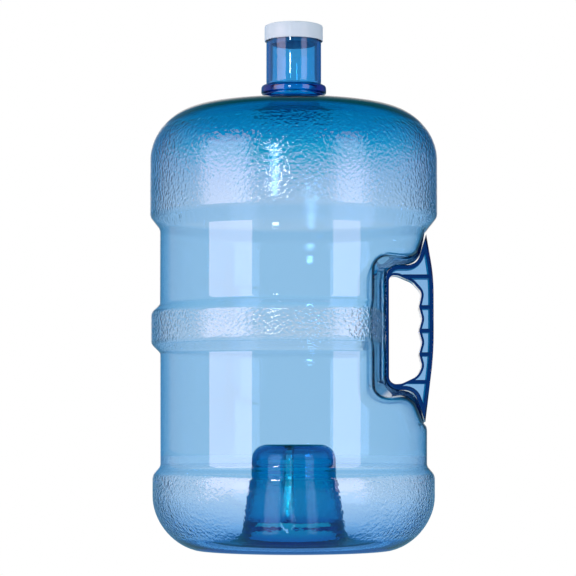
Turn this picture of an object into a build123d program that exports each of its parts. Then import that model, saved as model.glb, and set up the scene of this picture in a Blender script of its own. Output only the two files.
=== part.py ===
"""Returnable water carboy of about 19 litres: a blown shell, a moulded grip and a push-on cap.

Frame: +Z up, origin on the axis in the plane that the base stands on, grip towards +X.
Turned outlines are lists of (radius, height, corner fillet), walked from the mouth down.
"""

import math
import os

from build123d import *

# ---- Driving dimensions, millimetres ----

# Neck
mouth_z = 494.0
neck_r = 26.2
bore_r = 22.8
bead_r = 26.6
bead_z, bead_h = 487.5, 3.0
collar_r = 31.0
collar_z, collar_h = 433.0, 7.8
neck_groove_r = 27.8
neck_root_r = 24.6
neck_root_z = 421.8

# Shoulder and bands
shoulder_z = 411.1
shoulder_fillet = 50.0
shoulder_slope = 0.165
upper_band_r = 136.4
upper_band_z = 314.5
upper_body_r = 127.0
middle_band_r = 135.2
middle_band_low_z, middle_band_high_z = 194.0, 223.5
lower_body_r = 126.2
lower_band_r = 133.4
lower_band_z = 70.5
band_step = 8.5
upper_step = 12.0
heel_fillet = 52.0
heel_z = 10.5

# Base: a flat standing ring round a shallow recess
stand_outer_r, stand_inner_r = 94.0, 84.0
recess_z = 2.4
recess_slope_w = 6.0

# Socket in the base, which takes the neck of a carboy below when two are stacked
socket_mouth_r = 42.9
socket_mouth_fillet = 5.0
socket_lip_z = 20.5
socket_skirt_r, socket_skirt_z = 44.5, 24.5
socket_waist_r, socket_waist_z = 38.8, 65.5
socket_top_r, socket_top_z = 36.8, 96.2
socket_step = 1.6
socket_groove_z, socket_groove_h, socket_groove_d = 76.0, 2.6, 0.8
socket_corner = 11.0
socket_wall = 2.0
socket_root_fillet = 30.0

# Vent flute down the front of the socket wall
flute_r = 4.3
flute_depth = 3.2
flute_bearing = -97.0
flute_low_z, flute_high_z = 29.0, 104.0

# Walls
wall = 1.6
floor_wall = 2.4
shoulder_wall = 2.2

# Grip: a frame of flanges round a web, moulded apart and blown into the shell's pocket
grip_half_w = 12.0
grip_web = 2.4
grip_flange = 4.0
grip_rim = 2.2
grip_rib = 3.6
grip_edge_fillet = 0.8
pocket_back_x = 87.0
pocket_top_z, pocket_low_z = 268.8, 150.4
grip_top_tip = (125.4, 298.0)
grip_low_tip = (124.2, 120.2)
pocket_top_bend = (116.6, 268.8)
pocket_low_bend = (113.5, 150.4)
pocket_corner = 13.0
spine_x = 132.3
spine_top_z, spine_low_z = 258.0, 186.0
finger_left_x = 90.0
crest_x, valley_x = 118.4, 121.4
crest_z = (228.9, 206.6, 184.3)
rib_z = (258.0, *crest_z, 158.2)

# Pocket flanks open from the grip to the outside of the shell, by a slope on each side
back_draft, top_draft, low_draft = 0.167, 0.038, 0.114
pocket_reach = 140.0
pocket_out_x = 160.0

# Shallow round-cornered panel in the back of each flank
panel_y, panel_z = 48.0, 207.5
panel_w, panel_h, panel_d = 52.0, 101.0, 1.6
panel_corner = 9.0

# Cap and its sealing ring
cap_r, cap_low_z, cap_top_z = 27.8, 483.5, 498.6
cap_top = 2.2
cap_skirt_inner_r = 26.9
cap_edge_fillet = 1.8
plug_r, plug_wall, plug_low_z = 22.4, 1.6, 480.0
liner_clear = 0.2


def turned(corners):
    """Solid of revolution about Z from an outline that starts and ends on the axis."""
    points = [(radius, height) for radius, height, fillet_r in corners]
    fillets = [fillet_r for radius, height, fillet_r in corners[1:-1]]
    with BuildPart() as solid:
        with BuildSketch(Plane.XZ):
            with BuildLine():
                FilletPolyline(*points, radius=fillets)
                Line(points[-1], points[0])
            make_face()
        revolve(axis=Axis.Z)
    return solid.part


def pocket_outline(growth, reach):
    """Pocket's outline in the XZ plane, reach beyond the grip's side, as a face sketch."""
    back = growth + reach * back_draft
    flare = growth + reach * back_draft / 2
    high = pocket_top_z + growth + reach * top_draft
    low = pocket_low_z - growth - reach * low_draft
    corners = [
        (pocket_out_x, grip_top_tip[1] + growth),
        (grip_top_tip[0] - flare, grip_top_tip[1] + growth),
        (pocket_top_bend[0] - flare, high),
        (pocket_back_x - back, high),
        (pocket_back_x - back, low),
        (pocket_low_bend[0] - flare, low),
        (grip_low_tip[0] - flare, grip_low_tip[1] - growth),
        (pocket_out_x, grip_low_tip[1] - growth),
    ]
    fillets = [0, 12.0, pocket_corner + growth, pocket_corner + growth, 12.0, 0]
    with BuildSketch(Plane.XZ.offset(grip_half_w + reach)) as outline:
        with BuildLine():
            FilletPolyline(*corners, radius=fillets)
            Line(corners[-1], corners[0])
        make_face()
    return outline.sketch


def pocket_space(growth):
    """Room that the pocket takes from the shell, with every face moved out by growth."""
    with BuildPart() as space:
        extrude(pocket_outline(growth, 0), amount=-grip_half_w)
        loft([pocket_outline(growth, 0), pocket_outline(growth, pocket_reach)], ruled=True)
        with BuildSketch(panel_plane):
            RectangleRounded(panel_w + 2 * growth, panel_h + 2 * growth, panel_corner + growth)
        extrude(amount=panel_d + growth)
        mirror(about=Plane.XZ)
    return space.part


def flute(radius):
    """Round-ended bar beside the socket wall, from which the vent flute is cut."""
    slope = (socket_skirt_r - socket_waist_r) / (socket_waist_z - socket_skirt_z)
    offset_out = socket_wall + flute_r - flute_depth
    low_r = socket_skirt_r + (socket_skirt_z - flute_low_z) * slope + offset_out
    high_r = low_r - (flute_high_z - flute_low_z) * slope
    bearing = math.radians(flute_bearing)
    low = Vector(low_r * math.cos(bearing), low_r * math.sin(bearing), flute_low_z)
    high = Vector(high_r * math.cos(bearing), high_r * math.sin(bearing), flute_high_z)
    with BuildPart() as bar:
        with BuildSketch(Plane(origin=low, z_dir=high - low)):
            Circle(radius)
        extrude(amount=(high - low).length)
        with Locations(low):
            Sphere(radius)
    return bar.part


# ---- Bottle: outside ----

collar_top_z = collar_z + collar_h
shoulder_root_z = shoulder_z + (upper_band_r - collar_r - 5.5) * shoulder_slope
outside_corners = [
    (0, mouth_z, 0),
    (neck_r, mouth_z, 1.2),
    (neck_r, bead_z + bead_h, 0.2),
    (bead_r, bead_z + bead_h - 0.6, 0.3),
    (bead_r, bead_z + 0.6, 0.3),
    (neck_r, bead_z, 0.2),
    (neck_r, collar_top_z + 0.4, 0.8),
    (collar_r, collar_top_z - 0.2, 2.4),
    (collar_r, collar_z, 1.2),
    (neck_groove_r, collar_z - 0.4, 0.4),
    (neck_groove_r, collar_z - 1.6, 0.4),
    (neck_groove_r + 1.6, collar_z - 1.9, 0.5),
    (collar_r + 5.5, shoulder_root_z, 9.0),
    (upper_band_r, shoulder_z, shoulder_fillet),
    (upper_band_r, upper_band_z, 8.0),
    (upper_body_r, upper_band_z - upper_step, 7.0),
    (upper_body_r, middle_band_high_z + band_step, 5.0),
    (middle_band_r, middle_band_high_z, 6.0),
    (middle_band_r, middle_band_low_z, 6.0),
    (lower_body_r + 0.4, middle_band_low_z - band_step, 5.0),
    (lower_body_r, lower_band_z + band_step, 5.0),
    (lower_band_r, lower_band_z, 8.0),
    (lower_band_r, heel_z, heel_fillet),
    (stand_outer_r, 0, 3.0),
    (stand_inner_r, 0, 3.0),
    (stand_inner_r - recess_slope_w, recess_z, 3.0),
    (socket_mouth_r, recess_z, socket_mouth_fillet),
    (socket_mouth_r, socket_lip_z, 1.0),
    (socket_skirt_r, socket_skirt_z, 1.5),
    (socket_waist_r, socket_waist_z, 1.0),
    (socket_waist_r - socket_step, socket_waist_z + socket_step, 1.0),
    (socket_waist_r - socket_step, socket_groove_z - socket_groove_h / 2, 0.5),
    (socket_waist_r - socket_step - socket_groove_d, socket_groove_z, 0.8),
    (socket_waist_r - socket_step, socket_groove_z + socket_groove_h / 2, 0.5),
    (socket_top_r, socket_top_z, socket_corner),
    (0, socket_top_z, 0),
]

# ---- Bottle: the room inside ----

floor_z = recess_z + floor_wall
inner_waist_r = socket_waist_r + socket_wall
inside_corners = [
    (0, mouth_z + 10, 0),
    (bore_r, mouth_z + 10, 0),
    (bore_r, collar_z - 2, 6.0),
    (neck_root_r, neck_root_z, 1.5),
    (collar_r + 8, shoulder_root_z - 4.6, 8.0),
    (upper_band_r - wall, shoulder_z - shoulder_wall, shoulder_fillet - wall),
    (upper_band_r - wall, upper_band_z + 0.5, 6.4),
    (upper_body_r - wall, upper_band_z - upper_step + 0.5, 8.6),
    (upper_body_r - wall, middle_band_high_z + band_step - 0.6, 6.6),
    (middle_band_r - wall, middle_band_high_z - 0.6, 4.4),
    (middle_band_r - wall, middle_band_low_z + 0.6, 4.4),
    (lower_body_r + 0.4 - wall, middle_band_low_z - band_step + 0.6, 6.6),
    (lower_body_r - wall, lower_band_z + band_step - 0.6, 6.6),
    (lower_band_r - wall, lower_band_z - 0.6, 6.4),
    (lower_band_r - wall, heel_z + floor_wall, heel_fillet - wall),
    (stand_outer_r - 1, floor_wall, 4.0),
    (stand_inner_r - 1, floor_wall, 4.0),
    (stand_inner_r - 1 - recess_slope_w, floor_z, 4.0),
    (socket_skirt_r + 4.4, floor_z, socket_root_fillet),
    (inner_waist_r, socket_waist_z + 0.6, 2.4),
    (inner_waist_r - socket_step, socket_waist_z + socket_step + 0.6, 2.4),
    (socket_top_r + socket_wall - 0.6, socket_top_z + socket_wall, 13.0),
    (0, socket_top_z + socket_wall, 0),
]

# ---- Bottle ----

flank_slope = math.degrees(math.atan(back_draft))
panel_x = pocket_back_x - (panel_y - grip_half_w) * back_draft
panel_plane = Plane(
    origin=(panel_x, -panel_y, panel_z),
    x_dir=(math.sin(math.radians(flank_slope)), math.cos(math.radians(flank_slope)), 0),
    z_dir=(-math.cos(math.radians(flank_slope)), math.sin(math.radians(flank_slope)), 0),
)
pocket = pocket_space(0)
lining = pocket_space(wall)
room = turned(inside_corners)

with BuildPart() as cavity:
    add(room)
    add(lining, mode=Mode.SUBTRACT)

with BuildPart() as bottle:
    add(turned(outside_corners))
    add(pocket, mode=Mode.SUBTRACT)
    add(flute(flute_r + socket_wall))
    add(cavity.part, mode=Mode.SUBTRACT)
    add(flute(flute_r), mode=Mode.SUBTRACT)
bottle.part.label = "bottle"

# ---- Grip ----

# Finger hole: round from its top left corner, down the scalloped side and back along the bottom
pitch = crest_z[0] - crest_z[1]
finger_corners = [(finger_left_x, 259.3, 5.5), (98.5, 259.0, 11.0), (112.5, 252.9, 13.0)]
finger_corners += [(valley_x, crest_z[0] + pitch * 0.62, 9.0)]
for crest in crest_z:
    finger_corners += [(crest_x, crest, 3.5), (valley_x, crest - pitch / 2, 9.0)]
finger_corners += [(117.0, 163.5, 12.0), (102.0, 156.4, 12.0), (finger_left_x, 155.6, 7.0)]
finger_points = [(x, z) for x, z, fillet_r in finger_corners]
finger_fillets = [fillet_r for x, z, fillet_r in finger_corners]

rib_span_x = spine_x - finger_left_x - pocket_corner
with BuildPart() as handle:
    with BuildSketch(Plane.XZ) as grip_face:
        with BuildLine():
            FilletPolyline(
                grip_low_tip,
                pocket_low_bend,
                (pocket_back_x, pocket_low_z),
                (pocket_back_x, pocket_top_z),
                pocket_top_bend,
                grip_top_tip,
                radius=[12.0, pocket_corner, pocket_corner, 12.0],
            )
            FilletPolyline(
                grip_top_tip,
                (spine_x, spine_top_z),
                (spine_x, spine_low_z),
                grip_low_tip,
                radius=[180.0, 320.0],
            )
        make_face()
    with BuildSketch(Plane.XZ) as finger_face:
        with BuildLine():
            FilletPolyline(*finger_points, radius=finger_fillets, close=True)
        make_face()
    with BuildSketch(Plane.XZ.offset(grip_web / 2)) as hollow_face:
        add(grip_face.sketch_local)
        offset(amount=-grip_flange, kind=Kind.INTERSECTION, mode=Mode.REPLACE)
        rim = offset(finger_face.sketch_local, amount=grip_rim, mode=Mode.PRIVATE)
        add(rim, mode=Mode.SUBTRACT)
        with Locations(*[(spine_x - rib_span_x / 2, z) for z in rib_z]):
            Rectangle(rib_span_x, grip_rib, mode=Mode.SUBTRACT)
    extrude(grip_face.sketch, amount=grip_half_w)
    extrude(finger_face.sketch, amount=grip_half_w, mode=Mode.SUBTRACT)
    extrude(hollow_face.sketch, amount=grip_half_w, mode=Mode.SUBTRACT)
    outer_face = handle.faces().sort_by(Axis.Y)[0]
    fillet(outer_face.outer_wire().edges(), grip_edge_fillet)
    mirror(about=Plane.XZ)
handle.part.label = "handle"

# ---- Cap ----

cap_under_z = cap_top_z - cap_top
with BuildPart() as cap:
    add(
        turned(
            [
                (0, cap_top_z, 0),
                (cap_r, cap_top_z, cap_edge_fillet),
                (cap_r, cap_low_z, 0.3),
                (cap_skirt_inner_r, cap_low_z, 0),
                (cap_skirt_inner_r, cap_under_z, 0),
                (plug_r, cap_under_z, 0),
                (plug_r, plug_low_z, 0.6),
                (plug_r - plug_wall, plug_low_z, 0.6),
                (plug_r - plug_wall, cap_under_z, 0.8),
                (0, cap_under_z, 0),
            ]
        )
    )
cap.part.label = "cap"

with BuildPart() as cap_liner:
    with BuildSketch(Plane.XY.offset(mouth_z)):
        Circle(cap_skirt_inner_r - liner_clear)
        Circle(plug_r + liner_clear, mode=Mode.SUBTRACT)
    extrude(amount=cap_under_z - mouth_z)
cap_liner.part.label = "cap_liner"

# ---- Files ----

os.makedirs("parts", exist_ok=True)
for piece in (bottle, handle, cap, cap_liner):
    export_step(piece.part, f"parts/{piece.part.label}.step")
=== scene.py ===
"""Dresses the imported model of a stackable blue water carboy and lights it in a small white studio.

Shapes are worked in millimetres and brought to metres when a piece is finished.
Frame: +Z up along the bottle's axis, grip towards +X.
"""

import math

import bmesh
import bpy
import numpy as np
from bpy.props import FloatProperty, FloatVectorProperty, IntProperty, PointerProperty
from mathutils import Matrix, Vector


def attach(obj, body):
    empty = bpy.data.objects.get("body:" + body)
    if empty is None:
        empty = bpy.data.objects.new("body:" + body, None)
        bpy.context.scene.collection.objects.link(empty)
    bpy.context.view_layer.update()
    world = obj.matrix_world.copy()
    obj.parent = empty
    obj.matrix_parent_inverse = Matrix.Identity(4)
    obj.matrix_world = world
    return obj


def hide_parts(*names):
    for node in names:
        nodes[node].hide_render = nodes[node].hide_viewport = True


bl_info = {
    "name": "Water Carboy",
    "version": (1, 0, 0),
    "blender": (4, 5, 0),
    "location": "View3D > Sidebar > Carboy",
    "description": "Builds a clear blue water carboy with a grip, a cap and a small studio",
    "category": "Add Mesh",
}

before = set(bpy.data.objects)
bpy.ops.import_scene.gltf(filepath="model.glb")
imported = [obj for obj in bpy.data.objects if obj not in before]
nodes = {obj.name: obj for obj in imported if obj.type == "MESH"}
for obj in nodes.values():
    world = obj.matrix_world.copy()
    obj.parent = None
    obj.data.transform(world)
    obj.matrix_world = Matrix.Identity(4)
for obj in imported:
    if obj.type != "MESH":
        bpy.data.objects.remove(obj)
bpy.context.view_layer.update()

MM = 0.001

# ---- Shapes, millimetres: outlines are (radius, height, corner fillet) ----

# From the bore over the mouth, down the outside and up the socket to the axis
OUTSIDE_OUTLINE = [
    (22.8, 494.0, 0),
    (26.2, 494.0, 1.2),
    (26.2, 490.5, 0.2),
    (26.6, 489.9, 0.3),
    (26.6, 488.1, 0.3),
    (26.2, 487.5, 0.2),
    (26.2, 441.2, 0.8),
    (31.0, 440.6, 2.4),
    (31.0, 433.0, 1.2),
    (27.8, 432.6, 0.4),
    (27.8, 431.4, 0.4),
    (29.4, 431.1, 0.5),
    (36.5, 427.6, 9.0),
    (136.4, 411.1, 50.0),
    (136.4, 314.5, 8.0),
    (127.0, 302.5, 7.0),
    (127.0, 232.0, 5.0),
    (135.2, 223.5, 6.0),
    (135.2, 194.0, 6.0),
    (126.6, 185.5, 5.0),
    (126.2, 79.0, 5.0),
    (133.4, 70.5, 8.0),
    (133.4, 10.5, 52.0),
    (94.0, 0.0, 3.0),
    (84.0, 0.0, 3.0),
    (78.0, 2.4, 3.0),
    (42.9, 2.4, 5.0),
    (42.4, 20.5, 1.0),
    (43.6, 24.5, 1.5),
    (37.8, 65.5, 1.0),
    (36.2, 67.1, 1.0),
    (36.2, 74.7, 0.5),
    (35.5, 76.0, 0.8),
    (36.2, 77.3, 0.5),
    (35.8, 95.2, 11.0),
    (0.0, 95.2, 0),
]
# The same walk on the water side
INSIDE_OUTLINE = [
    (22.8, 494.0, 0),
    (22.8, 431.0, 6.0),
    (24.6, 421.8, 1.5),
    (39.0, 423.0, 8.0),
    (134.0, 406.6, 47.0),
    (135.2, 315.0, 6.0),
    (125.8, 303.0, 8.2),
    (125.8, 231.4, 6.2),
    (134.0, 222.9, 4.8),
    (134.0, 194.6, 4.8),
    (125.4, 186.1, 6.2),
    (125.0, 78.4, 6.2),
    (132.2, 69.9, 6.8),
    (132.0, 12.9, 50.4),
    (93.0, 2.6, 4.0),
    (83.0, 2.6, 4.0),
    (77.0, 5.0, 4.0),
    (49.9, 5.0, 14.0),
    (41.8, 66.1, 2.4),
    (40.2, 67.7, 2.4),
    (39.4, 99.0, 14.0),
    (0.0, 99.0, 0),
]
CAP_OUTLINE = [
    (0.0, 498.6, 0),
    (27.8, 498.6, 1.8),
    (27.8, 483.5, 0.3),
    (26.9, 483.5, 0.2),
    (26.9, 496.4, 0),
    (22.4, 496.4, 0),
    (22.4, 480.0, 0.6),
    (20.8, 480.0, 0.6),
    (20.8, 496.4, 0.8),
    (0.0, 496.4, 0),
]

# Turned skins: arc facets, longest straight row and the finer rows beside the grip pocket
ARC_STEP = 2.4
ROW_LONG = 9.0
ROW_NEAR = 0.2
POCKET_ROWS = [(104, 120, 3.0), (120, 148, 2.0), (148, 166, 1.1), (166, 254, 3.6)]
POCKET_ROWS += [(254, 272, 1.1), (272, 304, 2.0)]
# What lies further from the axis than this belongs to the wall
WALL_R = 90.0
GRIP_CROWDING = 0.45
FLUTE_BEARING = math.radians(-97.0)
FLUTE_CROWDING, FLUTE_CROWD_HALF = 0.5, math.radians(24)

# Grip pocket
POCKET_BACK_X, POCKET_TOP_Z, POCKET_LOW_Z = 87.0, 268.8, 150.4
POCKET_CORNER, POCKET_BEND = 13.0, 12.0
POCKET_BACK_DRAFT, POCKET_TOP_DRAFT, POCKET_LOW_DRAFT = 0.167, 0.038, 0.114
POCKET_RIM, POCKET_RIM_LEAST = 8.0, 2.0
# The part of the skins that the pocket may reach
POCKET_OVER_X, POCKET_OVER_Z, POCKET_UNDER_Z = 40.0, 100.0, 312.0
GRIP_HALF_W, GRIP_GAP = 12.0, 0.12
TOP_BEND, TOP_TIP = (116.6, 268.8), (125.4, 298.0)
LOW_BEND, LOW_TIP = (113.5, 150.4), (124.2, 120.2)
# Where the sight lines that the skins are pressed along come from
POCKET_SIGHT_X, POCKET_SIGHT_Z = 300.0, 209.5
PRESS_ROUNDS, PRESS_SHARE = 90, 0.8
PANEL_Y, PANEL_HALF_W, PANEL_Z, PANEL_HALF_H = 48.0, 26.0, 207.5, 50.5
PANEL_CORNER, PANEL_DEPTH, PANEL_EDGE = 9.0, 1.6, 3.0

# Vent flute in the socket wall
FLUTE_HALF_W, FLUTE_LOW_Z = 4.6, 32.0
FLUTE_AIR_DEPTH, FLUTE_WATER_DEPTH = 1.5, 4.2
SOCKET_LOW_Z, SOCKET_TOP_Z, SOCKET_MEAN_R = 12.0, 105.0, 40.0
SOCKET_AIR_R, SOCKET_WATER_R = 46.0, 50.0
# The flute fades out on the socket's roof between these radii
FLUTE_END_R, FLUTE_WHOLE_R = 20.0, 32.0
WATER_LINING = 1.3

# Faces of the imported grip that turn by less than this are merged
FLAT_ENOUGH = math.radians(0.5)
# Edges that turn by more degrees than this stay sharp
SHELL_SHARP, GRIP_SHARP, CAP_SHARP = 50, 32, 40


# ---- Turning ----


def round_corner(bm, vert, before, after, fillet):
    """Rounds one corner of a wire to the given radius."""
    turn = math.pi - (before - vert.co).angle(after - vert.co)
    bmesh.ops.bevel(
        bm,
        geom=[vert],
        offset=fillet * math.tan(turn / 2),
        offset_type="OFFSET",
        segments=max(2, min(16, round(fillet * turn / ARC_STEP) + 1)),
        profile=0.5,
        affect="VERTICES",
        material=-1,
    )


def rounded_wire(bm, outline):
    """Draws an outline in the XZ plane and rounds its corners."""
    corners = [Vector((radius, 0, height)) for radius, height, _ in outline]
    wire = [bm.verts.new(corner) for corner in corners]
    for start, end in zip(wire, wire[1:]):
        bm.edges.new((start, end))
    for i in range(1, len(wire) - 1):
        if outline[i][2]:
            round_corner(bm, wire[i], corners[i - 1], corners[i + 1], outline[i][2])


def add_rows(bm):
    """Divides a wire's long runs: fine rows beside the pocket, long ones elsewhere."""
    for low, high, step in POCKET_ROWS:
        for height in np.arange(low, high, step):
            wall = [e for e in bm.edges if min(v.co.x for v in e.verts) > WALL_R]
            ends = list({v for e in wall for v in e.verts})
            bmesh.ops.bisect_plane(
                bm,
                geom=ends + wall,
                dist=ROW_NEAR,
                plane_co=(0, 0, float(height)),
                plane_no=(0, 0, 1),
            )
    for edge in bm.edges[:]:
        cuts = math.ceil(edge.calc_length() / ROW_LONG) - 1
        if cuts > 0:
            bmesh.ops.subdivide_edges(bm, edges=[edge], cuts=cuts)


def turn_about_axis(bm, steps):
    """Spins a wire full circle about Z."""
    bmesh.ops.spin(
        bm,
        geom=bm.verts[:] + bm.edges[:],
        cent=(0, 0, 0),
        axis=(0, 0, 1),
        angle=2 * math.pi,
        steps=steps,
        use_merge=True,
        use_duplicate=False,
    )


def close_up(bm):
    """Merges doubled vertices, turns the faces outwards and refuses an open shell."""
    bmesh.ops.remove_doubles(bm, verts=bm.verts, dist=1e-3)
    bmesh.ops.recalc_face_normals(bm, faces=bm.faces)
    if any(not e.is_manifold for e in bm.edges):
        raise RuntimeError("the shell is open")


def piece_from(bm, name, material, body, stands_for):
    """Makes the finished piece from a bmesh in millimetres and ties it to its body."""
    mesh = bpy.data.meshes.new(name)
    bm.to_mesh(mesh)
    bm.free()
    mesh.transform(Matrix.Scale(MM, 4))
    mesh.materials.append(material)
    piece = bpy.data.objects.new(name, mesh)
    bpy.context.scene.collection.objects.link(piece)
    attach(piece, body)
    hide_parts(stands_for)
    return piece


def shade_smooth(bm, sharp_over):
    """Smooth shading, with edges that turn by more than the given angle kept sharp."""
    for face in bm.faces:
        face.smooth = True
    for edge in bm.edges:
        edge.smooth = edge.calc_face_angle(0) < math.radians(sharp_over)


# ---- Grip pocket and flute, pressed into the turned skins ----


def soft_least(a, b, reach):
    """The smaller of two distances, blended where they are within reach of each other."""
    near = np.maximum(reach - np.abs(a - b), 0) / reach
    return np.minimum(a, b) - near**2 * reach / 4


def rounded_box_gap(across, along, half_across, half_along, corner):
    """Distance in a plane from a rounded rectangle, negative inside it."""
    a = np.abs(across) - half_across + corner
    b = np.abs(along) - half_along + corner
    outer = np.hypot(np.maximum(a, 0), np.maximum(b, 0))
    return outer + np.minimum(np.maximum(a, b), 0) - corner


def panel_depth(y, z):
    """Depth of the shallow panel in each flank of the pocket."""
    across, along = np.abs(y) - PANEL_Y, z - PANEL_Z
    gap = rounded_box_gap(across, along, PANEL_HALF_W, PANEL_HALF_H, PANEL_CORNER)
    share = np.clip(0.5 - gap / PANEL_EDGE, 0, 1)
    return PANEL_DEPTH * share * share * (3 - 2 * share)


def pocket_gap(x, y, z, lining):
    """Distance from the pocket that holds the grip, negative inside it."""
    side = np.maximum(np.abs(y) - GRIP_HALF_W, 0)
    back = POCKET_BACK_X - lining - side * POCKET_BACK_DRAFT - panel_depth(y, z)
    top = POCKET_TOP_Z + lining + side * POCKET_TOP_DRAFT
    low = POCKET_LOW_Z - lining - side * POCKET_LOW_DRAFT
    corner = POCKET_CORNER + lining
    a = back + corner - x
    b = np.maximum(z - top, low - z) + corner
    box = np.hypot(np.maximum(a, 0), np.maximum(b, 0)) + np.minimum(np.maximum(a, b), 0) - corner
    flare = side * POCKET_BACK_DRAFT / 2 + lining

    def past(bend, tip, edge, way):
        run_x = tip[0] - bend[0]
        run_z = (tip[1] - bend[1]) * way
        across = (z - edge) * way * run_x - (x - bend[0] + flare) * run_z
        return np.maximum(across / math.hypot(run_x, run_z), (z - tip[1]) * way - lining)

    wedge = np.maximum(past(TOP_BEND, TOP_TIP, top, 1), past(LOW_BEND, LOW_TIP, low, -1))
    return soft_least(box, wedge, POCKET_BEND)


def press_pocket(points, wall_z, wall_r, lining):
    """Moves the points that lie in the grip pocket back along sight lines until they meet it."""
    beside = (points[:, 2] > POCKET_OVER_Z) & (points[:, 2] < POCKET_UNDER_Z)
    held = np.flatnonzero((points[:, 0] > POCKET_OVER_X) & beside)
    x, y, z = points[held].T
    way_x, way_z = x - POCKET_SIGHT_X, z - POCKET_SIGHT_Z
    length = np.hypot(way_x, way_z)
    way_x, way_z = way_x / length, way_z / length
    rim = max(POCKET_RIM - lining, POCKET_RIM_LEAST)
    for _ in range(PRESS_ROUNDS):
        body = np.hypot(x, y) - np.interp(z, wall_z, wall_r)
        gap = -soft_least(-body, pocket_gap(x, y, z, lining + GRIP_GAP), rim)
        step = np.maximum(gap, 0) * PRESS_SHARE
        x, z = x + way_x * step, z + way_z * step
    points[held, 0], points[held, 2] = x, z


def press_flute(points, depth, reach_r):
    """Pushes the vent flute into the socket wall, towards the axis."""
    radius = np.hypot(points[:, 0], points[:, 1])
    bearing = np.arctan2(points[:, 1], points[:, 0])
    inside = (points[:, 2] > SOCKET_LOW_Z) & (points[:, 2] < SOCKET_TOP_Z)
    held = np.flatnonzero((radius < reach_r) & inside)
    r, z = radius[held], points[held, 2]
    turn = (bearing[held] - FLUTE_BEARING + math.pi) % (2 * math.pi) - math.pi
    across = SOCKET_MEAN_R * np.abs(turn)
    below = np.maximum(FLUTE_LOW_Z - z, 0)
    gap = np.hypot(across, below) / FLUTE_HALF_W
    share = np.sqrt(np.clip(1 - gap**2, 0, 1))
    fade = np.clip((r - FLUTE_END_R) / (FLUTE_WHOLE_R - FLUTE_END_R), 0, 1)
    fade = fade * fade * (3 - 2 * fade)
    points[held, :2] *= (1 - depth * share * fade / np.maximum(r, 1.0))[:, None]


def crowd_steps(points):
    """Draws the steps of a turned skin together round the grip and the flute."""
    radius = np.hypot(points[:, 0], points[:, 1])
    bearing = np.arctan2(points[:, 1], points[:, 0])
    bearing -= GRIP_CROWDING * np.sin(bearing)
    off = (bearing - FLUTE_BEARING + math.pi) % (2 * math.pi) - math.pi
    pull = FLUTE_CROWDING * FLUTE_CROWD_HALF / math.pi * np.sin(math.pi * off / FLUTE_CROWD_HALF)
    bearing -= np.where(np.abs(off) < FLUTE_CROWD_HALF, pull, 0)
    points[:, 0], points[:, 1] = radius * np.cos(bearing), radius * np.sin(bearing)


def shell_skin(name, outline, lining, flute_depth, socket_r, steps):
    """Turns one skin of the bottle and presses the pocket and the flute into it."""
    bm = bmesh.new()
    rounded_wire(bm, outline)
    add_rows(bm)
    wall = sorted((v.co.z, v.co.x) for v in bm.verts if v.co.x > WALL_R)
    wall_z, wall_r = np.array(wall).T
    turn_about_axis(bm, steps)
    points = np.array([v.co for v in bm.verts])
    crowd_steps(points)
    press_pocket(points, wall_z, wall_r, lining)
    press_flute(points, flute_depth, socket_r)
    for vert, point in zip(bm.verts, points):
        vert.co = point
    skin = bpy.data.meshes.new(name)
    bm.to_mesh(skin)
    bm.free()
    return skin


# ---- Node helpers ----


def new_material(name):
    """An empty node material with its output."""
    material = bpy.data.materials.new(name)
    material.use_nodes = True
    tree = material.node_tree
    tree.nodes.clear()
    out = tree.nodes.new("ShaderNodeOutputMaterial")
    return material, tree, out


def add_node(tree, kind, inputs=(), **settings):
    """Adds a node, sets its attributes, and fills sockets by name with a value or a link."""
    node = tree.nodes.new(kind)
    for key, value in settings.items():
        setattr(node, key, value)
    for key, value in dict(inputs).items():
        if isinstance(value, bpy.types.NodeSocket):
            tree.links.new(value, node.inputs[key])
        else:
            node.inputs[key].default_value = value
    return node


def maths(tree, operation, a, b=0.0):
    """A Math node's result."""
    node = tree.nodes.new("ShaderNodeMath")
    node.operation = operation
    for socket, value in zip(node.inputs, (a, b)):
        if isinstance(value, bpy.types.NodeSocket):
            tree.links.new(value, socket)
        else:
            socket.default_value = value
    return node.outputs[0]


def start_group(name, inputs, outputs):
    """A shader node group with float or colour sockets, and its two end nodes."""
    group = bpy.data.node_groups.new(name, "ShaderNodeTree")
    for label, kind, default in inputs:
        socket = group.interface.new_socket(label, in_out="INPUT", socket_type=kind)
        socket.default_value = default
    for label, kind in outputs:
        group.interface.new_socket(label, in_out="OUTPUT", socket_type=kind)
    return group, group.nodes.new("NodeGroupInput"), group.nodes.new("NodeGroupOutput")


def use_group(tree, group, **inputs):
    """Places a node group with its own values; spaces in labels are underscores here."""
    node = tree.nodes.new("ShaderNodeGroup")
    node.node_tree = group
    for key, value in inputs.items():
        socket = node.inputs[key.replace("_", " ")]
        if isinstance(value, bpy.types.NodeSocket):
            tree.links.new(value, socket)
        else:
            socket.default_value = value
    return node


# ---- Shared effects ----


def pebble_group():
    """Height of a soft, irregular pebble grain."""
    group, start, end = start_group(
        "pebble_grain",
        [("Grains per metre", "NodeSocketFloat", 280.0), ("Wander", "NodeSocketFloat", 0.35)],
        [("Height", "NodeSocketFloat")],
    )
    place = add_node(group, "ShaderNodeTexCoord").outputs["Object"]
    grain = add_node(
        group,
        "ShaderNodeTexNoise",
        {
            "Vector": place,
            "Scale": start.outputs["Grains per metre"],
            "Detail": 0.5,
            "Distortion": start.outputs["Wander"],
        },
    )
    group.links.new(grain.outputs["Fac"], end.inputs["Height"])
    return group


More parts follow.
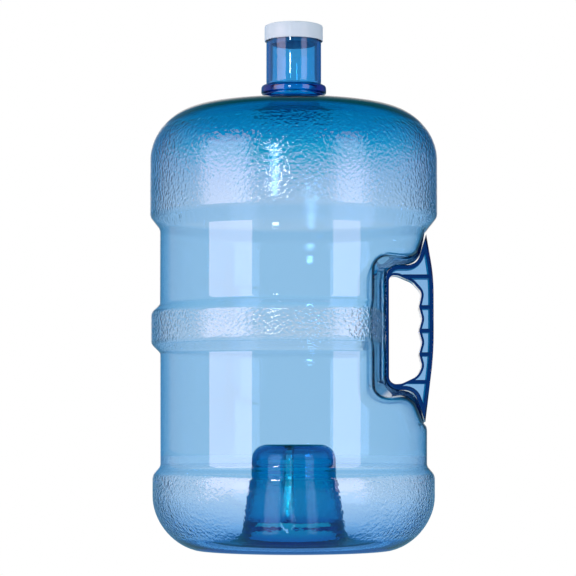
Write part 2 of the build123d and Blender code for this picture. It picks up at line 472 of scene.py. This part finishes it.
def ripple_group():
    """Height of the broad, faint waves that a blown wall cools with."""
    group, start, end = start_group(
        "blown_ripple",
        [("Waves per metre", "NodeSocketFloat", 9.0), ("Stretch", "NodeSocketFloat", 0.35)],
        [("Height", "NodeSocketFloat")],
    )
    place = add_node(group, "ShaderNodeTexCoord").outputs["Object"]
    apart = add_node(group, "ShaderNodeSeparateXYZ", {0: place})
    drawn = add_node(
        group,
        "ShaderNodeCombineXYZ",
        {
            "X": apart.outputs["X"],
            "Y": apart.outputs["Y"],
            "Z": maths(group, "MULTIPLY", apart.outputs["Z"], start.outputs["Stretch"]),
        },
    )
    waves = add_node(
        group,
        "ShaderNodeTexNoise",
        {"Vector": drawn.outputs[0], "Scale": start.outputs["Waves per metre"], "Detail": 0.0},
    )
    group.links.new(waves.outputs["Fac"], end.inputs["Height"])
    return group


def handling_group():
    """Roughness with faint rubs from handling, as a value."""
    group, start, end = start_group(
        "handling_marks",
        [("Clean", "NodeSocketFloat", 0.03), ("Rubbed", "NodeSocketFloat", 0.12)],
        [("Roughness", "NodeSocketFloat")],
    )
    place = add_node(group, "ShaderNodeTexCoord").outputs["Object"]
    rubs = add_node(group, "ShaderNodeTexNoise", {"Vector": place, "Scale": 22.0, "Detail": 2.0})
    patch = add_node(
        group,
        "ShaderNodeMapRange",
        {
            "Value": rubs.outputs["Fac"],
            "From Min": 0.5,
            "From Max": 0.85,
            "To Min": start.outputs["Clean"],
            "To Max": start.outputs["Rubbed"],
        },
    )
    group.links.new(patch.outputs["Result"], end.inputs["Roughness"])
    return group


def soft_step(tree, value, low, high, start=0.0, end=1.0):
    """Goes smoothly from start to end while the value goes from low to high."""
    step = add_node(
        tree,
        "ShaderNodeMapRange",
        {"Value": value, "From Min": low, "From Max": high, "To Min": start, "To Max": end},
        interpolation_type="SMOOTHSTEP",
    )
    return step.outputs["Result"]


def band_mask(tree, height, low, high, soft):
    """1 between two heights in metres, fading out over the soft distance."""
    rise = soft_step(tree, height, low - soft, low + soft)
    fall = soft_step(tree, height, high + soft, high - soft)
    return maths(tree, "MULTIPLY", rise, fall)


def paint_stops(ramp_node, colours):
    """Colours the stops of a colour ramp in their order."""
    for stop, colour in zip(ramp_node.color_ramp.elements, colours):
        stop.color = (*colour, 1)


def tinted_plastic(tree, out, settings, base, roughness, normal):
    """Clear polycarbonate that takes up light along its depth."""
    shader = add_node(
        tree,
        "ShaderNodeBsdfPrincipled",
        {
            "Base Color": base,
            "Roughness": roughness,
            "IOR": POLYCARBONATE_IOR,
            "Transmission Weight": 1.0,
            "Normal": normal,
        },
    )
    tint = add_node(
        tree,
        "ShaderNodeVolumeAbsorption",
        {"Color": (*settings.tint, 1), "Density": settings.tint_density},
    )
    tree.links.new(shader.outputs[0], out.inputs["Surface"])
    tree.links.new(tint.outputs[0], out.inputs["Volume"])


# ---- Finishes, with heights and distances in metres ----

POLYCARBONATE_IOR = 1.585

# Heights between which the mould side is pebbled, and how softly the pebble ends
PEBBLED_BANDS = ((0.014, 0.070), (0.195, 0.2225), (0.3145, 0.398))
BAND_SOFT = 0.003
# In front of the socket this much of the pebble is missing: from this far aside it is all there
CALM_FRONT, CALM_ASIDE, CALM_TOP = 0.9, (0.045, 0.09), 0.1

# What the surface lets through, beside the tint of its depth; the pebbled bands let more red through
# than the thin walls, a painted sheen that stands in for the highlights their grain scatters
THIN_TINT, PEBBLED_TINT_WITH_PAINTED_SHEEN = (0.83, 0.93, 0.985), (0.98, 0.965, 0.975)
# Where the plastic is thick, so that its further tint counts
SOCKET_REACH, SOCKET_TOP = (0.062, 0.05), 0.104
SHOULDER_LOW, SHOULDER_SOFT = 0.392, 0.017
NECK_LOW, NECK_SOFT, NECK_SHARE = 0.439, 0.002, 0.35
# Below and above every height of the bottle
UNDER_ALL, OVER_ALL = -0.02, 0.6

GRIP_SURFACE = (1.0, 0.65, 0.95, 1)


def pebble_weight(tree, level, bands):
    """How strongly the pebble shows, calm low down in front of the socket."""
    mould_side = add_node(tree, "ShaderNodeAttribute", attribute_name="mould_side").outputs["Fac"]
    aside = soft_step(tree, maths(tree, "ABSOLUTE", level.outputs["X"]), *CALM_ASIDE)
    calm = maths(tree, "MULTIPLY", maths(tree, "SUBTRACT", 1.0, aside), CALM_FRONT)
    calm = maths(tree, "MULTIPLY", calm, maths(tree, "LESS_THAN", level.outputs["Z"], CALM_TOP))
    shown = maths(tree, "MULTIPLY", bands, maths(tree, "SUBTRACT", 1.0, calm))
    return maths(tree, "MULTIPLY", shown, mould_side)


def depth_of_tint(tree, level):
    """0 in the socket, 1 in the shoulder and collar, and a half where the wall is thin."""
    flat = add_node(
        tree, "ShaderNodeCombineXYZ", {"X": level.outputs["X"], "Y": level.outputs["Y"], "Z": 0.0}
    )
    off_axis = add_node(tree, "ShaderNodeVectorMath", {0: flat.outputs[0]}, operation="LENGTH")
    inward = soft_step(tree, off_axis.outputs["Value"], *SOCKET_REACH)
    height = level.outputs["Z"]
    low = band_mask(tree, height, UNDER_ALL, SOCKET_TOP, BAND_SOFT)
    socket = maths(tree, "MULTIPLY", inward, low)
    top = band_mask(tree, height, SHOULDER_LOW, OVER_ALL, SHOULDER_SOFT)
    neck = band_mask(tree, height, NECK_LOW, OVER_ALL, NECK_SOFT)
    shoulder = maths(tree, "SUBTRACT", top, maths(tree, "MULTIPLY", neck, 1 - NECK_SHARE))
    lean = maths(tree, "MULTIPLY", maths(tree, "SUBTRACT", shoulder, socket), 0.5)
    return maths(tree, "ADD", lean, 0.5)


def clear_blue_finish(settings, groups):
    """Blue-tinted polycarbonate, gloss, pebbled on the raised bands of its mould side."""
    material, tree, out = new_material("clear_blue_polycarbonate")
    place = add_node(tree, "ShaderNodeTexCoord").outputs["Object"]
    level = add_node(tree, "ShaderNodeSeparateXYZ", {0: place})
    bands = 0.0
    for low, high in PEBBLED_BANDS:
        band = band_mask(tree, level.outputs["Z"], low, high, BAND_SOFT)
        bands = maths(tree, "ADD", band, bands)
    pebble = use_group(
        tree,
        groups["pebble"],
        Grains_per_metre=1 / settings.pebble_size,
        Wander=settings.pebble_wander,
    )
    grain = maths(tree, "MULTIPLY", pebble.outputs["Height"], settings.pebble_depth)
    grain = maths(tree, "MULTIPLY", pebble_weight(tree, level, bands), grain)
    ripple = use_group(tree, groups["ripple"], Waves_per_metre=9.0, Stretch=0.35)
    waves = maths(tree, "MULTIPLY", ripple.outputs["Height"], settings.ripple_depth)
    height = maths(tree, "ADD", grain, waves)
    bump = add_node(tree, "ShaderNodeBump", {"Strength": 1.0, "Distance": 1.0, "Height": height})
    marks = use_group(tree, groups["handling"], Clean=0.015, Rubbed=0.07)
    tone = add_node(tree, "ShaderNodeValToRGB", {"Fac": depth_of_tint(tree, level)})
    tone.color_ramp.elements.new(0.5)
    paint_stops(tone, (settings.socket_tint, (1, 1, 1), settings.shoulder_tint))
    # Painted sheen: the pebbled bands get a colour lighter in red than the thin walls, standing in
    # for the highlights their grain scatters
    face = add_node(tree, "ShaderNodeValToRGB", {"Fac": bands})
    paint_stops(face, (THIN_TINT, PEBBLED_TINT_WITH_PAINTED_SHEEN))
    base = add_node(
        tree,
        "ShaderNodeVectorMath",
        {0: tone.outputs["Color"], 1: face.outputs["Color"]},
        operation="MULTIPLY",
    )
    roughness, normal = marks.outputs["Roughness"], bump.outputs["Normal"]
    tinted_plastic(tree, out, settings, base.outputs[0], roughness, normal)
    return material


def deep_blue_finish(settings, groups):
    """The grip's polycarbonate, darker because it is moulded thick."""
    material, tree, out = new_material("deep_blue_polycarbonate")
    ripple = use_group(tree, groups["ripple"], Waves_per_metre=60.0, Stretch=0.5)
    bump = add_node(
        tree,
        "ShaderNodeBump",
        {"Strength": 1.0, "Distance": 0.0008, "Height": ripple.outputs["Height"]},
    )
    marks = use_group(tree, groups["handling"], Clean=0.03, Rubbed=0.16)
    roughness, normal = marks.outputs["Roughness"], bump.outputs["Normal"]
    tinted_plastic(tree, out, settings, GRIP_SURFACE, roughness, normal)
    return material


def cap_finish(settings, groups):
    """Satin white polyethylene."""
    material, tree, out = new_material("cap_polyethylene")
    place = add_node(tree, "ShaderNodeTexCoord").outputs["Object"]
    grain = add_node(tree, "ShaderNodeTexNoise", {"Vector": place, "Scale": 900.0, "Detail": 3.0})
    bump = add_node(
        tree,
        "ShaderNodeBump",
        {"Strength": 0.4, "Distance": 0.0001, "Height": grain.outputs["Fac"]},
    )
    cloud = add_node(tree, "ShaderNodeTexNoise", {"Vector": place, "Scale": 35.0, "Detail": 3.0})
    paint = add_node(tree, "ShaderNodeValToRGB", {"Fac": cloud.outputs["Fac"]})
    light, dark = settings.colour, [0.94 * c for c in settings.colour]
    paint_stops(paint, (dark, light))
    marks = use_group(tree, groups["handling"], Clean=0.34, Rubbed=0.5)
    shader = add_node(
        tree,
        "ShaderNodeBsdfPrincipled",
        {
            "Base Color": paint.outputs["Color"],
            "Roughness": marks.outputs["Roughness"],
            "IOR": 1.5,
            "Subsurface Weight": 0.15,
            "Subsurface Radius": (0.004, 0.0035, 0.003),
            "Subsurface Scale": 1.0,
            "Normal": bump.outputs["Normal"],
        },
    )
    tree.links.new(shader.outputs[0], out.inputs["Surface"])
    return material


def foam_finish():
    """White closed-cell foam with a fine cell texture."""
    material, tree, out = new_material("sealing_foam")
    place = add_node(tree, "ShaderNodeTexCoord").outputs["Object"]
    cells = add_node(tree, "ShaderNodeTexVoronoi", {"Vector": place, "Scale": 2400.0})
    bump = add_node(
        tree,
        "ShaderNodeBump",
        {"Strength": 0.8, "Distance": 0.0002, "Height": cells.outputs["Distance"]},
    )
    paint = add_node(tree, "ShaderNodeValToRGB", {"Fac": cells.outputs["Distance"]})
    paint_stops(paint, ((0.9, 0.9, 0.88), (0.74, 0.75, 0.74)))
    shader = add_node(
        tree,
        "ShaderNodeBsdfPrincipled",
        {
            "Base Color": paint.outputs["Color"],
            "Roughness": 0.85,
            "IOR": 1.45,
            "Normal": bump.outputs["Normal"],
        },
    )
    tree.links.new(shader.outputs[0], out.inputs["Surface"])
    return material


def shared_groups():
    """The node groups that the finishes share, made once."""
    made = bpy.data.node_groups
    return {
        "pebble": made.get("pebble_grain") or pebble_group(),
        "ripple": made.get("blown_ripple") or ripple_group(),
        "handling": made.get("handling_marks") or handling_group(),
    }


# ---- Settings ----


def colour_setting(name, description, default):
    """A colour among an operator's settings."""
    return FloatVectorProperty(
        name=name,
        description=description,
        subtype="COLOR",
        size=3,
        min=0,
        max=1,
        default=default,
    )


def amount_setting(name, description, default, **limits):
    """A number that isn't below 0 among an operator's settings."""
    return FloatProperty(
        name=name, description=description, default=default, **{"min": 0, **limits}
    )


class CARBOY_PG_shell(bpy.types.PropertyGroup):
    tint: colour_setting("Tint", "Colour that the plastic lets through", (0.46, 0.74, 0.9375))
    tint_density: amount_setting("Tint density", "Strength of the tint per metre", 560.0)
    socket_tint: colour_setting(
        "Socket tint", "Further colour of the thick stacking socket", (0.015, 1.0, 0.86)
    )
    shoulder_tint: colour_setting(
        "Shoulder tint", "Further colour of the thick shoulder and collar", (0.02, 0.97, 0.86)
    )
    pebble_size: amount_setting(
        "Pebble size", "Distance between grains of the bands", 0.0028, min=0.0005, unit="LENGTH"
    )
    pebble_depth: amount_setting(
        "Pebble depth", "Height of the grains of the bands", 0.00055, unit="LENGTH"
    )
    pebble_wander: amount_setting(
        "Pebble wander", "Unevenness of the grain", 0.35, subtype="FACTOR"
    )
    ripple_depth: amount_setting(
        "Ripple depth", "Height of the broad waves in the blown wall", 0.0006, unit="LENGTH"
    )
    steps: IntProperty(
        name="Steps", description="Facets round the bottle", default=192, min=48, max=216
    )


class CARBOY_PG_grip(bpy.types.PropertyGroup):
    tint: colour_setting("Tint", "Colour that the grip lets through", (0.0, 0.783, 0.875))
    tint_density: amount_setting("Tint density", "Strength of the tint per metre", 600.0)


class CARBOY_PG_cap(bpy.types.PropertyGroup):
    colour: colour_setting("Colour", "Colour of the cap", (0.5, 0.64, 0.76))
    steps: IntProperty(
        name="Steps", description="Facets round the cap", default=128, min=24, max=256
    )


class CARBOY_PG_studio(bpy.types.PropertyGroup):
    floor_tone: amount_setting(
        "Floor tone", "Lightness of the floor", 0.9, max=1, subtype="FACTOR"
    )
    left_power: amount_setting("Left softbox", "Brightness of the softbox at the left", 3.2)
    right_power: amount_setting("Right softbox", "Brightness of the softbox at the right", 2.3)
    strip_power: amount_setting("Front strip", "Brightness of the light over the camera", 24.0)
    eye_height: amount_setting("Eye height", "Height of the camera", 0.113, unit="LENGTH")
    distance: amount_setting("Distance", "Camera to the bottle's axis", 2.08, unit="LENGTH")


# ---- Pieces ----


class CARBOY_OT_shell(bpy.types.Operator):
    """Blows the bottle's shell, with its bands, grip pocket and stacking socket"""

    bl_idname = "carboy.shell"
    bl_label = "Shell"

    def execute(self, context):
        settings = context.scene.carboy_shell
        bm = bmesh.new()
        mould_side = bm.verts.layers.float.new("mould_side")
        steps = settings.steps
        outside = shell_skin(
            "outside", OUTSIDE_OUTLINE, 0.0, FLUTE_AIR_DEPTH, SOCKET_AIR_R, steps
        )
        bm.from_mesh(outside)
        for vert in bm.verts:
            vert[mould_side] = 1.0
        inside = shell_skin(
            "inside", INSIDE_OUTLINE, WATER_LINING, FLUTE_WATER_DEPTH, SOCKET_WATER_R, steps
        )
        bm.from_mesh(inside)
        for skin in (outside, inside):
            bpy.data.meshes.remove(skin)
        close_up(bm)
        shade_smooth(bm, SHELL_SHARP)
        finish = clear_blue_finish(settings, shared_groups())
        piece_from(bm, "blown_shell", finish, "bottle_body", "bottle")
        return {"FINISHED"}


class CARBOY_OT_grip(bpy.types.Operator):
    """Finishes the moulded grip, with the flat faces of its ribs and web merged"""

    bl_idname = "carboy.grip"
    bl_label = "Grip"

    def execute(self, context):
        settings = context.scene.carboy_grip
        bm = bmesh.new()
        bm.from_mesh(nodes["handle"].data)
        bmesh.ops.remove_doubles(bm, verts=bm.verts, dist=1e-6)
        bmesh.ops.dissolve_limit(
            bm,
            angle_limit=FLAT_ENOUGH,
            use_dissolve_boundaries=False,
            verts=bm.verts,
            edges=bm.edges,
        )
        bmesh.ops.scale(bm, vec=(1 / MM, 1 / MM, 1 / MM), verts=bm.verts)
        if any(not e.is_manifold for e in bm.edges):
            raise RuntimeError("the grip is open")
        shade_smooth(bm, GRIP_SHARP)
        finish = deep_blue_finish(settings, shared_groups())
        piece_from(bm, "moulded_grip", finish, "bottle_body", "handle")
        return {"FINISHED"}


class CARBOY_OT_cap(bpy.types.Operator):
    """Turns the push-on cap with its skirt and plug"""

    bl_idname = "carboy.cap"
    bl_label = "Cap"

    def execute(self, context):
        settings = context.scene.carboy_cap
        bm = bmesh.new()
        rounded_wire(bm, CAP_OUTLINE)
        turn_about_axis(bm, settings.steps)
        close_up(bm)
        shade_smooth(bm, CAP_SHARP)
        finish = cap_finish(settings, shared_groups())
        piece_from(bm, "push_cap", finish, "cap_body", "cap")
        return {"FINISHED"}


class CARBOY_OT_sealing_ring(bpy.types.Operator):
    """Gives the foam ring inside the cap its finish"""

    bl_idname = "carboy.sealing_ring"
    bl_label = "Sealing Ring"

    def execute(self, context):
        ring = nodes["cap_liner"].data
        ring.materials.clear()
        ring.materials.append(foam_finish())
        return {"FINISHED"}


# ---- Studio ----

# Tones of the room by bearing from straight behind the bottle, in degrees
SEEN_THROUGH = [(0, 1.0), (12, 1.0), (16, 0.3), (42, 0.3), (52, 0.85)]
SEEN_THROUGH += [(90, 0.8), (130, 0.6), (180, 0.6)]
BLUE_FLAG = (0.12, 0.32, 0.55)
MIRRORED = [(0, 1.0), (9, 1.0), (14, BLUE_FLAG), (42, BLUE_FLAG)]
MIRRORED += [(52, 0.5), (90, 0.4), (110, 0.08), (180, 0.06)]
# How far up the room changes towards its overhead tone, and how far to the right it dims
OVERHEAD_REACH, RIGHT_REACH = (0.35, 0.9), (0.0, 0.4)
# Share left overhead and at the right, of what is seen through the plastic and mirrored
THROUGH_SHARES, MIRRORED_SHARES = (0.8, 1.0), (0.1, 0.4)
# What the plastic mirrors inside itself, and the share that what it mirrors aloft has of it
INNER_GLOW = (0.01, 0.37, 0.52, 1)
GLOW_REACH, GLOW_ALOFT = (0.3, 0.8), 0.85
WHITE = (1, 1, 1, 1)

# The floor: its own light, and its tone for what the plastic mirrors
FLOOR_HALF, FLOOR_LIGHT = 6.0, 0.55
FLOOR_MIRRORED, FLOOR_MIRRORED_LIGHT = (0.25, 0.6, 0.9, 1), 0.5

# Lamps: name, setting, bearing, distance, width, height, middle height and colour
WARM, COOL = (1.0, 0.7, 0.7), (0.85, 0.95, 1.0)
LAMPS = (
    ("left_softbox", "left_power", -54, 1.6, 1.15, 1.7, 0.35, WARM),
    ("right_softbox", "right_power", 44, 1.6, 0.7, 1.7, 0.35, WARM),
    ("front_strip", "strip_power", -15, 2.3, 0.2, 0.36, 0.68, COOL),
)

LENS_MM, LENS_SHIFT, CAMERA_PITCH = 137.0, (-0.0099, 0.08), 92.5
BOUNCES, GLOSSY_BOUNCES = 16, 8


def tones_by_bearing(tree, bearing, stops):
    """A tone that changes with the bearing from straight behind the bottle, in degrees."""
    half_turns = maths(tree, "DIVIDE", bearing, math.pi)
    ramp_node = add_node(tree, "ShaderNodeValToRGB", {"Fac": half_turns})
    for degrees, _ in stops[1:-1]:
        ramp_node.color_ramp.elements.new(degrees / 180)
    paint_stops(ramp_node, [t if isinstance(t, tuple) else (t, t, t) for _, t in stops])
    return ramp_node.outputs["Color"]


def chosen(tree, share, first, second):
    """The first shader at share 0 and the second at share 1."""
    mix = add_node(tree, "ShaderNodeMixShader", {"Fac": share})
    tree.links.new(first.outputs[0], mix.inputs[1])
    tree.links.new(second.outputs[0], mix.inputs[2])
    return mix


def room_tones(tree, apart, stops, shares):
    """The room by its tones, dimmed overhead and towards the right."""
    overhead, on_the_right = shares
    bearing = maths(tree, "ARCTAN2", apart.outputs["X"], apart.outputs["Y"])
    colour = tones_by_bearing(tree, maths(tree, "ABSOLUTE", bearing), stops)
    rise = soft_step(tree, apart.outputs["Z"], *OVERHEAD_REACH, 1.0, overhead)
    side = add_node(
        tree,
        "ShaderNodeMapRange",
        {
            "Value": apart.outputs["X"],
            "From Min": RIGHT_REACH[0],
            "From Max": RIGHT_REACH[1],
            "To Min": 1.0,
            "To Max": on_the_right,
        },
    )
    strength = maths(tree, "MULTIPLY", rise, side.outputs["Result"])
    return add_node(tree, "ShaderNodeBackground", {"Color": colour, "Strength": strength})


def backdrop():
    """White backdrop, with flags beside it for the plastic to bend and a dark front to mirror."""
    world = bpy.data.worlds.new("studio")
    bpy.context.scene.world = world
    world.use_nodes = True
    tree = world.node_tree
    tree.nodes.clear()
    out = tree.nodes.new("ShaderNodeOutputWorld")
    way = add_node(tree, "ShaderNodeTexCoord").outputs["Generated"]
    apart = add_node(tree, "ShaderNodeSeparateXYZ", {0: way})
    light = add_node(tree, "ShaderNodeLightPath")
    through = room_tones(tree, apart, SEEN_THROUGH, THROUGH_SHARES)
    mirrored = room_tones(tree, apart, MIRRORED, MIRRORED_SHARES)
    plain = add_node(tree, "ShaderNodeBackground", {"Color": WHITE, "Strength": 1.0})
    glow = add_node(tree, "ShaderNodeBackground", {"Color": INNER_GLOW, "Strength": 1.0})
    seen_inside = maths(tree, "GREATER_THAN", light.outputs["Transmission Depth"], 1.5)
    aloft = soft_step(tree, apart.outputs["Z"], *GLOW_REACH, 0.0, GLOW_ALOFT)
    mirror = chosen(tree, maths(tree, "MAXIMUM", seen_inside, aloft), mirrored, glow)
    bounced = maths(tree, "GREATER_THAN", light.outputs["Glossy Depth"], 0.5)
    room = chosen(tree, bounced, through, mirror)
    whole = chosen(tree, light.outputs["Is Camera Ray"], room, plain)
    tree.links.new(whole.outputs[0], out.inputs["Surface"])


def floor_finish(tone):
    """Pale floor that the camera sees as plain white and the plastic mirrors as blue."""
    material, tree, out = new_material("pale_floor")
    paint = add_node(
        tree,
        "ShaderNodeBsdfPrincipled",
        {
            "Base Color": (tone, tone, tone, 1),
            "Roughness": 0.9,
            "Specular IOR Level": 0.1,
            "Emission Color": WHITE,
            "Emission Strength": FLOOR_LIGHT,
        },
    )
    inputs = {"Color": FLOOR_MIRRORED, "Strength": FLOOR_MIRRORED_LIGHT}
    blue = add_node(tree, "ShaderNodeEmission", inputs)
    white = add_node(tree, "ShaderNodeEmission", {"Color": WHITE, "Strength": 1.0})
    light = add_node(tree, "ShaderNodeLightPath")
    bounced = maths(tree, "GREATER_THAN", light.outputs["Glossy Depth"], 0.5)
    both = chosen(tree, bounced, paint, blue)
    whole = chosen(tree, light.outputs["Is Camera Ray"], both, white)
    tree.links.new(whole.outputs[0], out.inputs["Surface"])
    return material


def softbox(name, radiance, bearing, distance, width, height, middle_z, colour):
    """A rectangular light aimed level at the bottle's axis."""
    lamp = bpy.data.lights.new(name, "AREA")
    lamp.shape = "RECTANGLE"
    lamp.size, lamp.size_y = width, height
    lamp.energy = radiance * math.pi * width * height
    lamp.color = colour
    light = bpy.data.objects.new(name, lamp)
    bpy.context.scene.collection.objects.link(light)
    turn = math.radians(bearing)
    light.location = (distance * math.sin(turn), -distance * math.cos(turn), middle_z)
    light.rotation_euler = (math.radians(90), 0, turn)


class CARBOY_OT_studio(bpy.types.Operator):
    """Sets up the floor, the backdrop, the lamps and the camera"""

    bl_idname = "carboy.studio"
    bl_label = "Studio"

    def execute(self, context):
        settings = context.scene.carboy_studio
        scene = context.scene
        bm = bmesh.new()
        bmesh.ops.create_grid(bm, x_segments=4, y_segments=4, size=FLOOR_HALF)
        mesh = bpy.data.meshes.new("floor")
        bm.to_mesh(mesh)
        bm.free()
        mesh.materials.append(floor_finish(settings.floor_tone))
        floor = bpy.data.objects.new("floor", mesh)
        scene.collection.objects.link(floor)

        backdrop()
        for name, power, *placing in LAMPS:
            softbox(name, getattr(settings, power), *placing)

        lens = bpy.data.cameras.new("camera")
        lens.sensor_width = 36.0
        lens.lens = LENS_MM
        lens.shift_x, lens.shift_y = LENS_SHIFT
        camera = bpy.data.objects.new("camera", lens)
        scene.collection.objects.link(camera)
        camera.location = (0, -settings.distance, settings.eye_height)
        camera.rotation_euler = (math.radians(CAMERA_PITCH), 0, 0)
        scene.camera = camera
        scene.view_settings.view_transform = "Standard"
        scene.cycles.max_bounces = BOUNCES
        scene.cycles.transmission_bounces = BOUNCES
        scene.cycles.transparent_max_bounces = BOUNCES
        scene.cycles.glossy_bounces = GLOSSY_BOUNCES
        scene.cycles.caustics_refractive = True
        scene.cycles.caustics_reflective = True
        return {"FINISHED"}


class CARBOY_PT_panel(bpy.types.Panel):
    bl_idname = "CARBOY_PT_panel"
    bl_label = "Water Carboy"
    bl_space_type = "VIEW_3D"
    bl_region_type = "UI"
    bl_category = "Carboy"

    def draw(self, context):
        for operator in OPERATORS:
            self.layout.operator(operator.bl_idname)
        for group in SETTINGS:
            box = self.layout.box()
            settings = getattr(context.scene, group)
            for name in settings.__annotations__:
                box.prop(settings, name)


SETTINGS = {
    "carboy_shell": CARBOY_PG_shell,
    "carboy_grip": CARBOY_PG_grip,
    "carboy_cap": CARBOY_PG_cap,
    "carboy_studio": CARBOY_PG_studio,
}
OPERATORS = (
    CARBOY_OT_studio,
    CARBOY_OT_shell,
    CARBOY_OT_grip,
    CARBOY_OT_cap,
    CARBOY_OT_sealing_ring,
)


def register():
    for name, group in SETTINGS.items():
        bpy.utils.register_class(group)
        setattr(bpy.types.Scene, name, PointerProperty(type=group))
    for operator in OPERATORS:
        bpy.utils.register_class(operator)
    bpy.utils.register_class(CARBOY_PT_panel)


def unregister():
    bpy.utils.unregister_class(CARBOY_PT_panel)
    for operator in reversed(OPERATORS):
        bpy.utils.unregister_class(operator)
    for name, group in SETTINGS.items():
        delattr(bpy.types.Scene, name)
        bpy.utils.unregister_class(group)


def main():
    register()
    bpy.ops.carboy.studio()
    bpy.ops.carboy.shell()
    bpy.ops.carboy.grip()
    bpy.ops.carboy.cap()
    bpy.ops.carboy.sealing_ring()


if __name__ == "__main__":
    main()
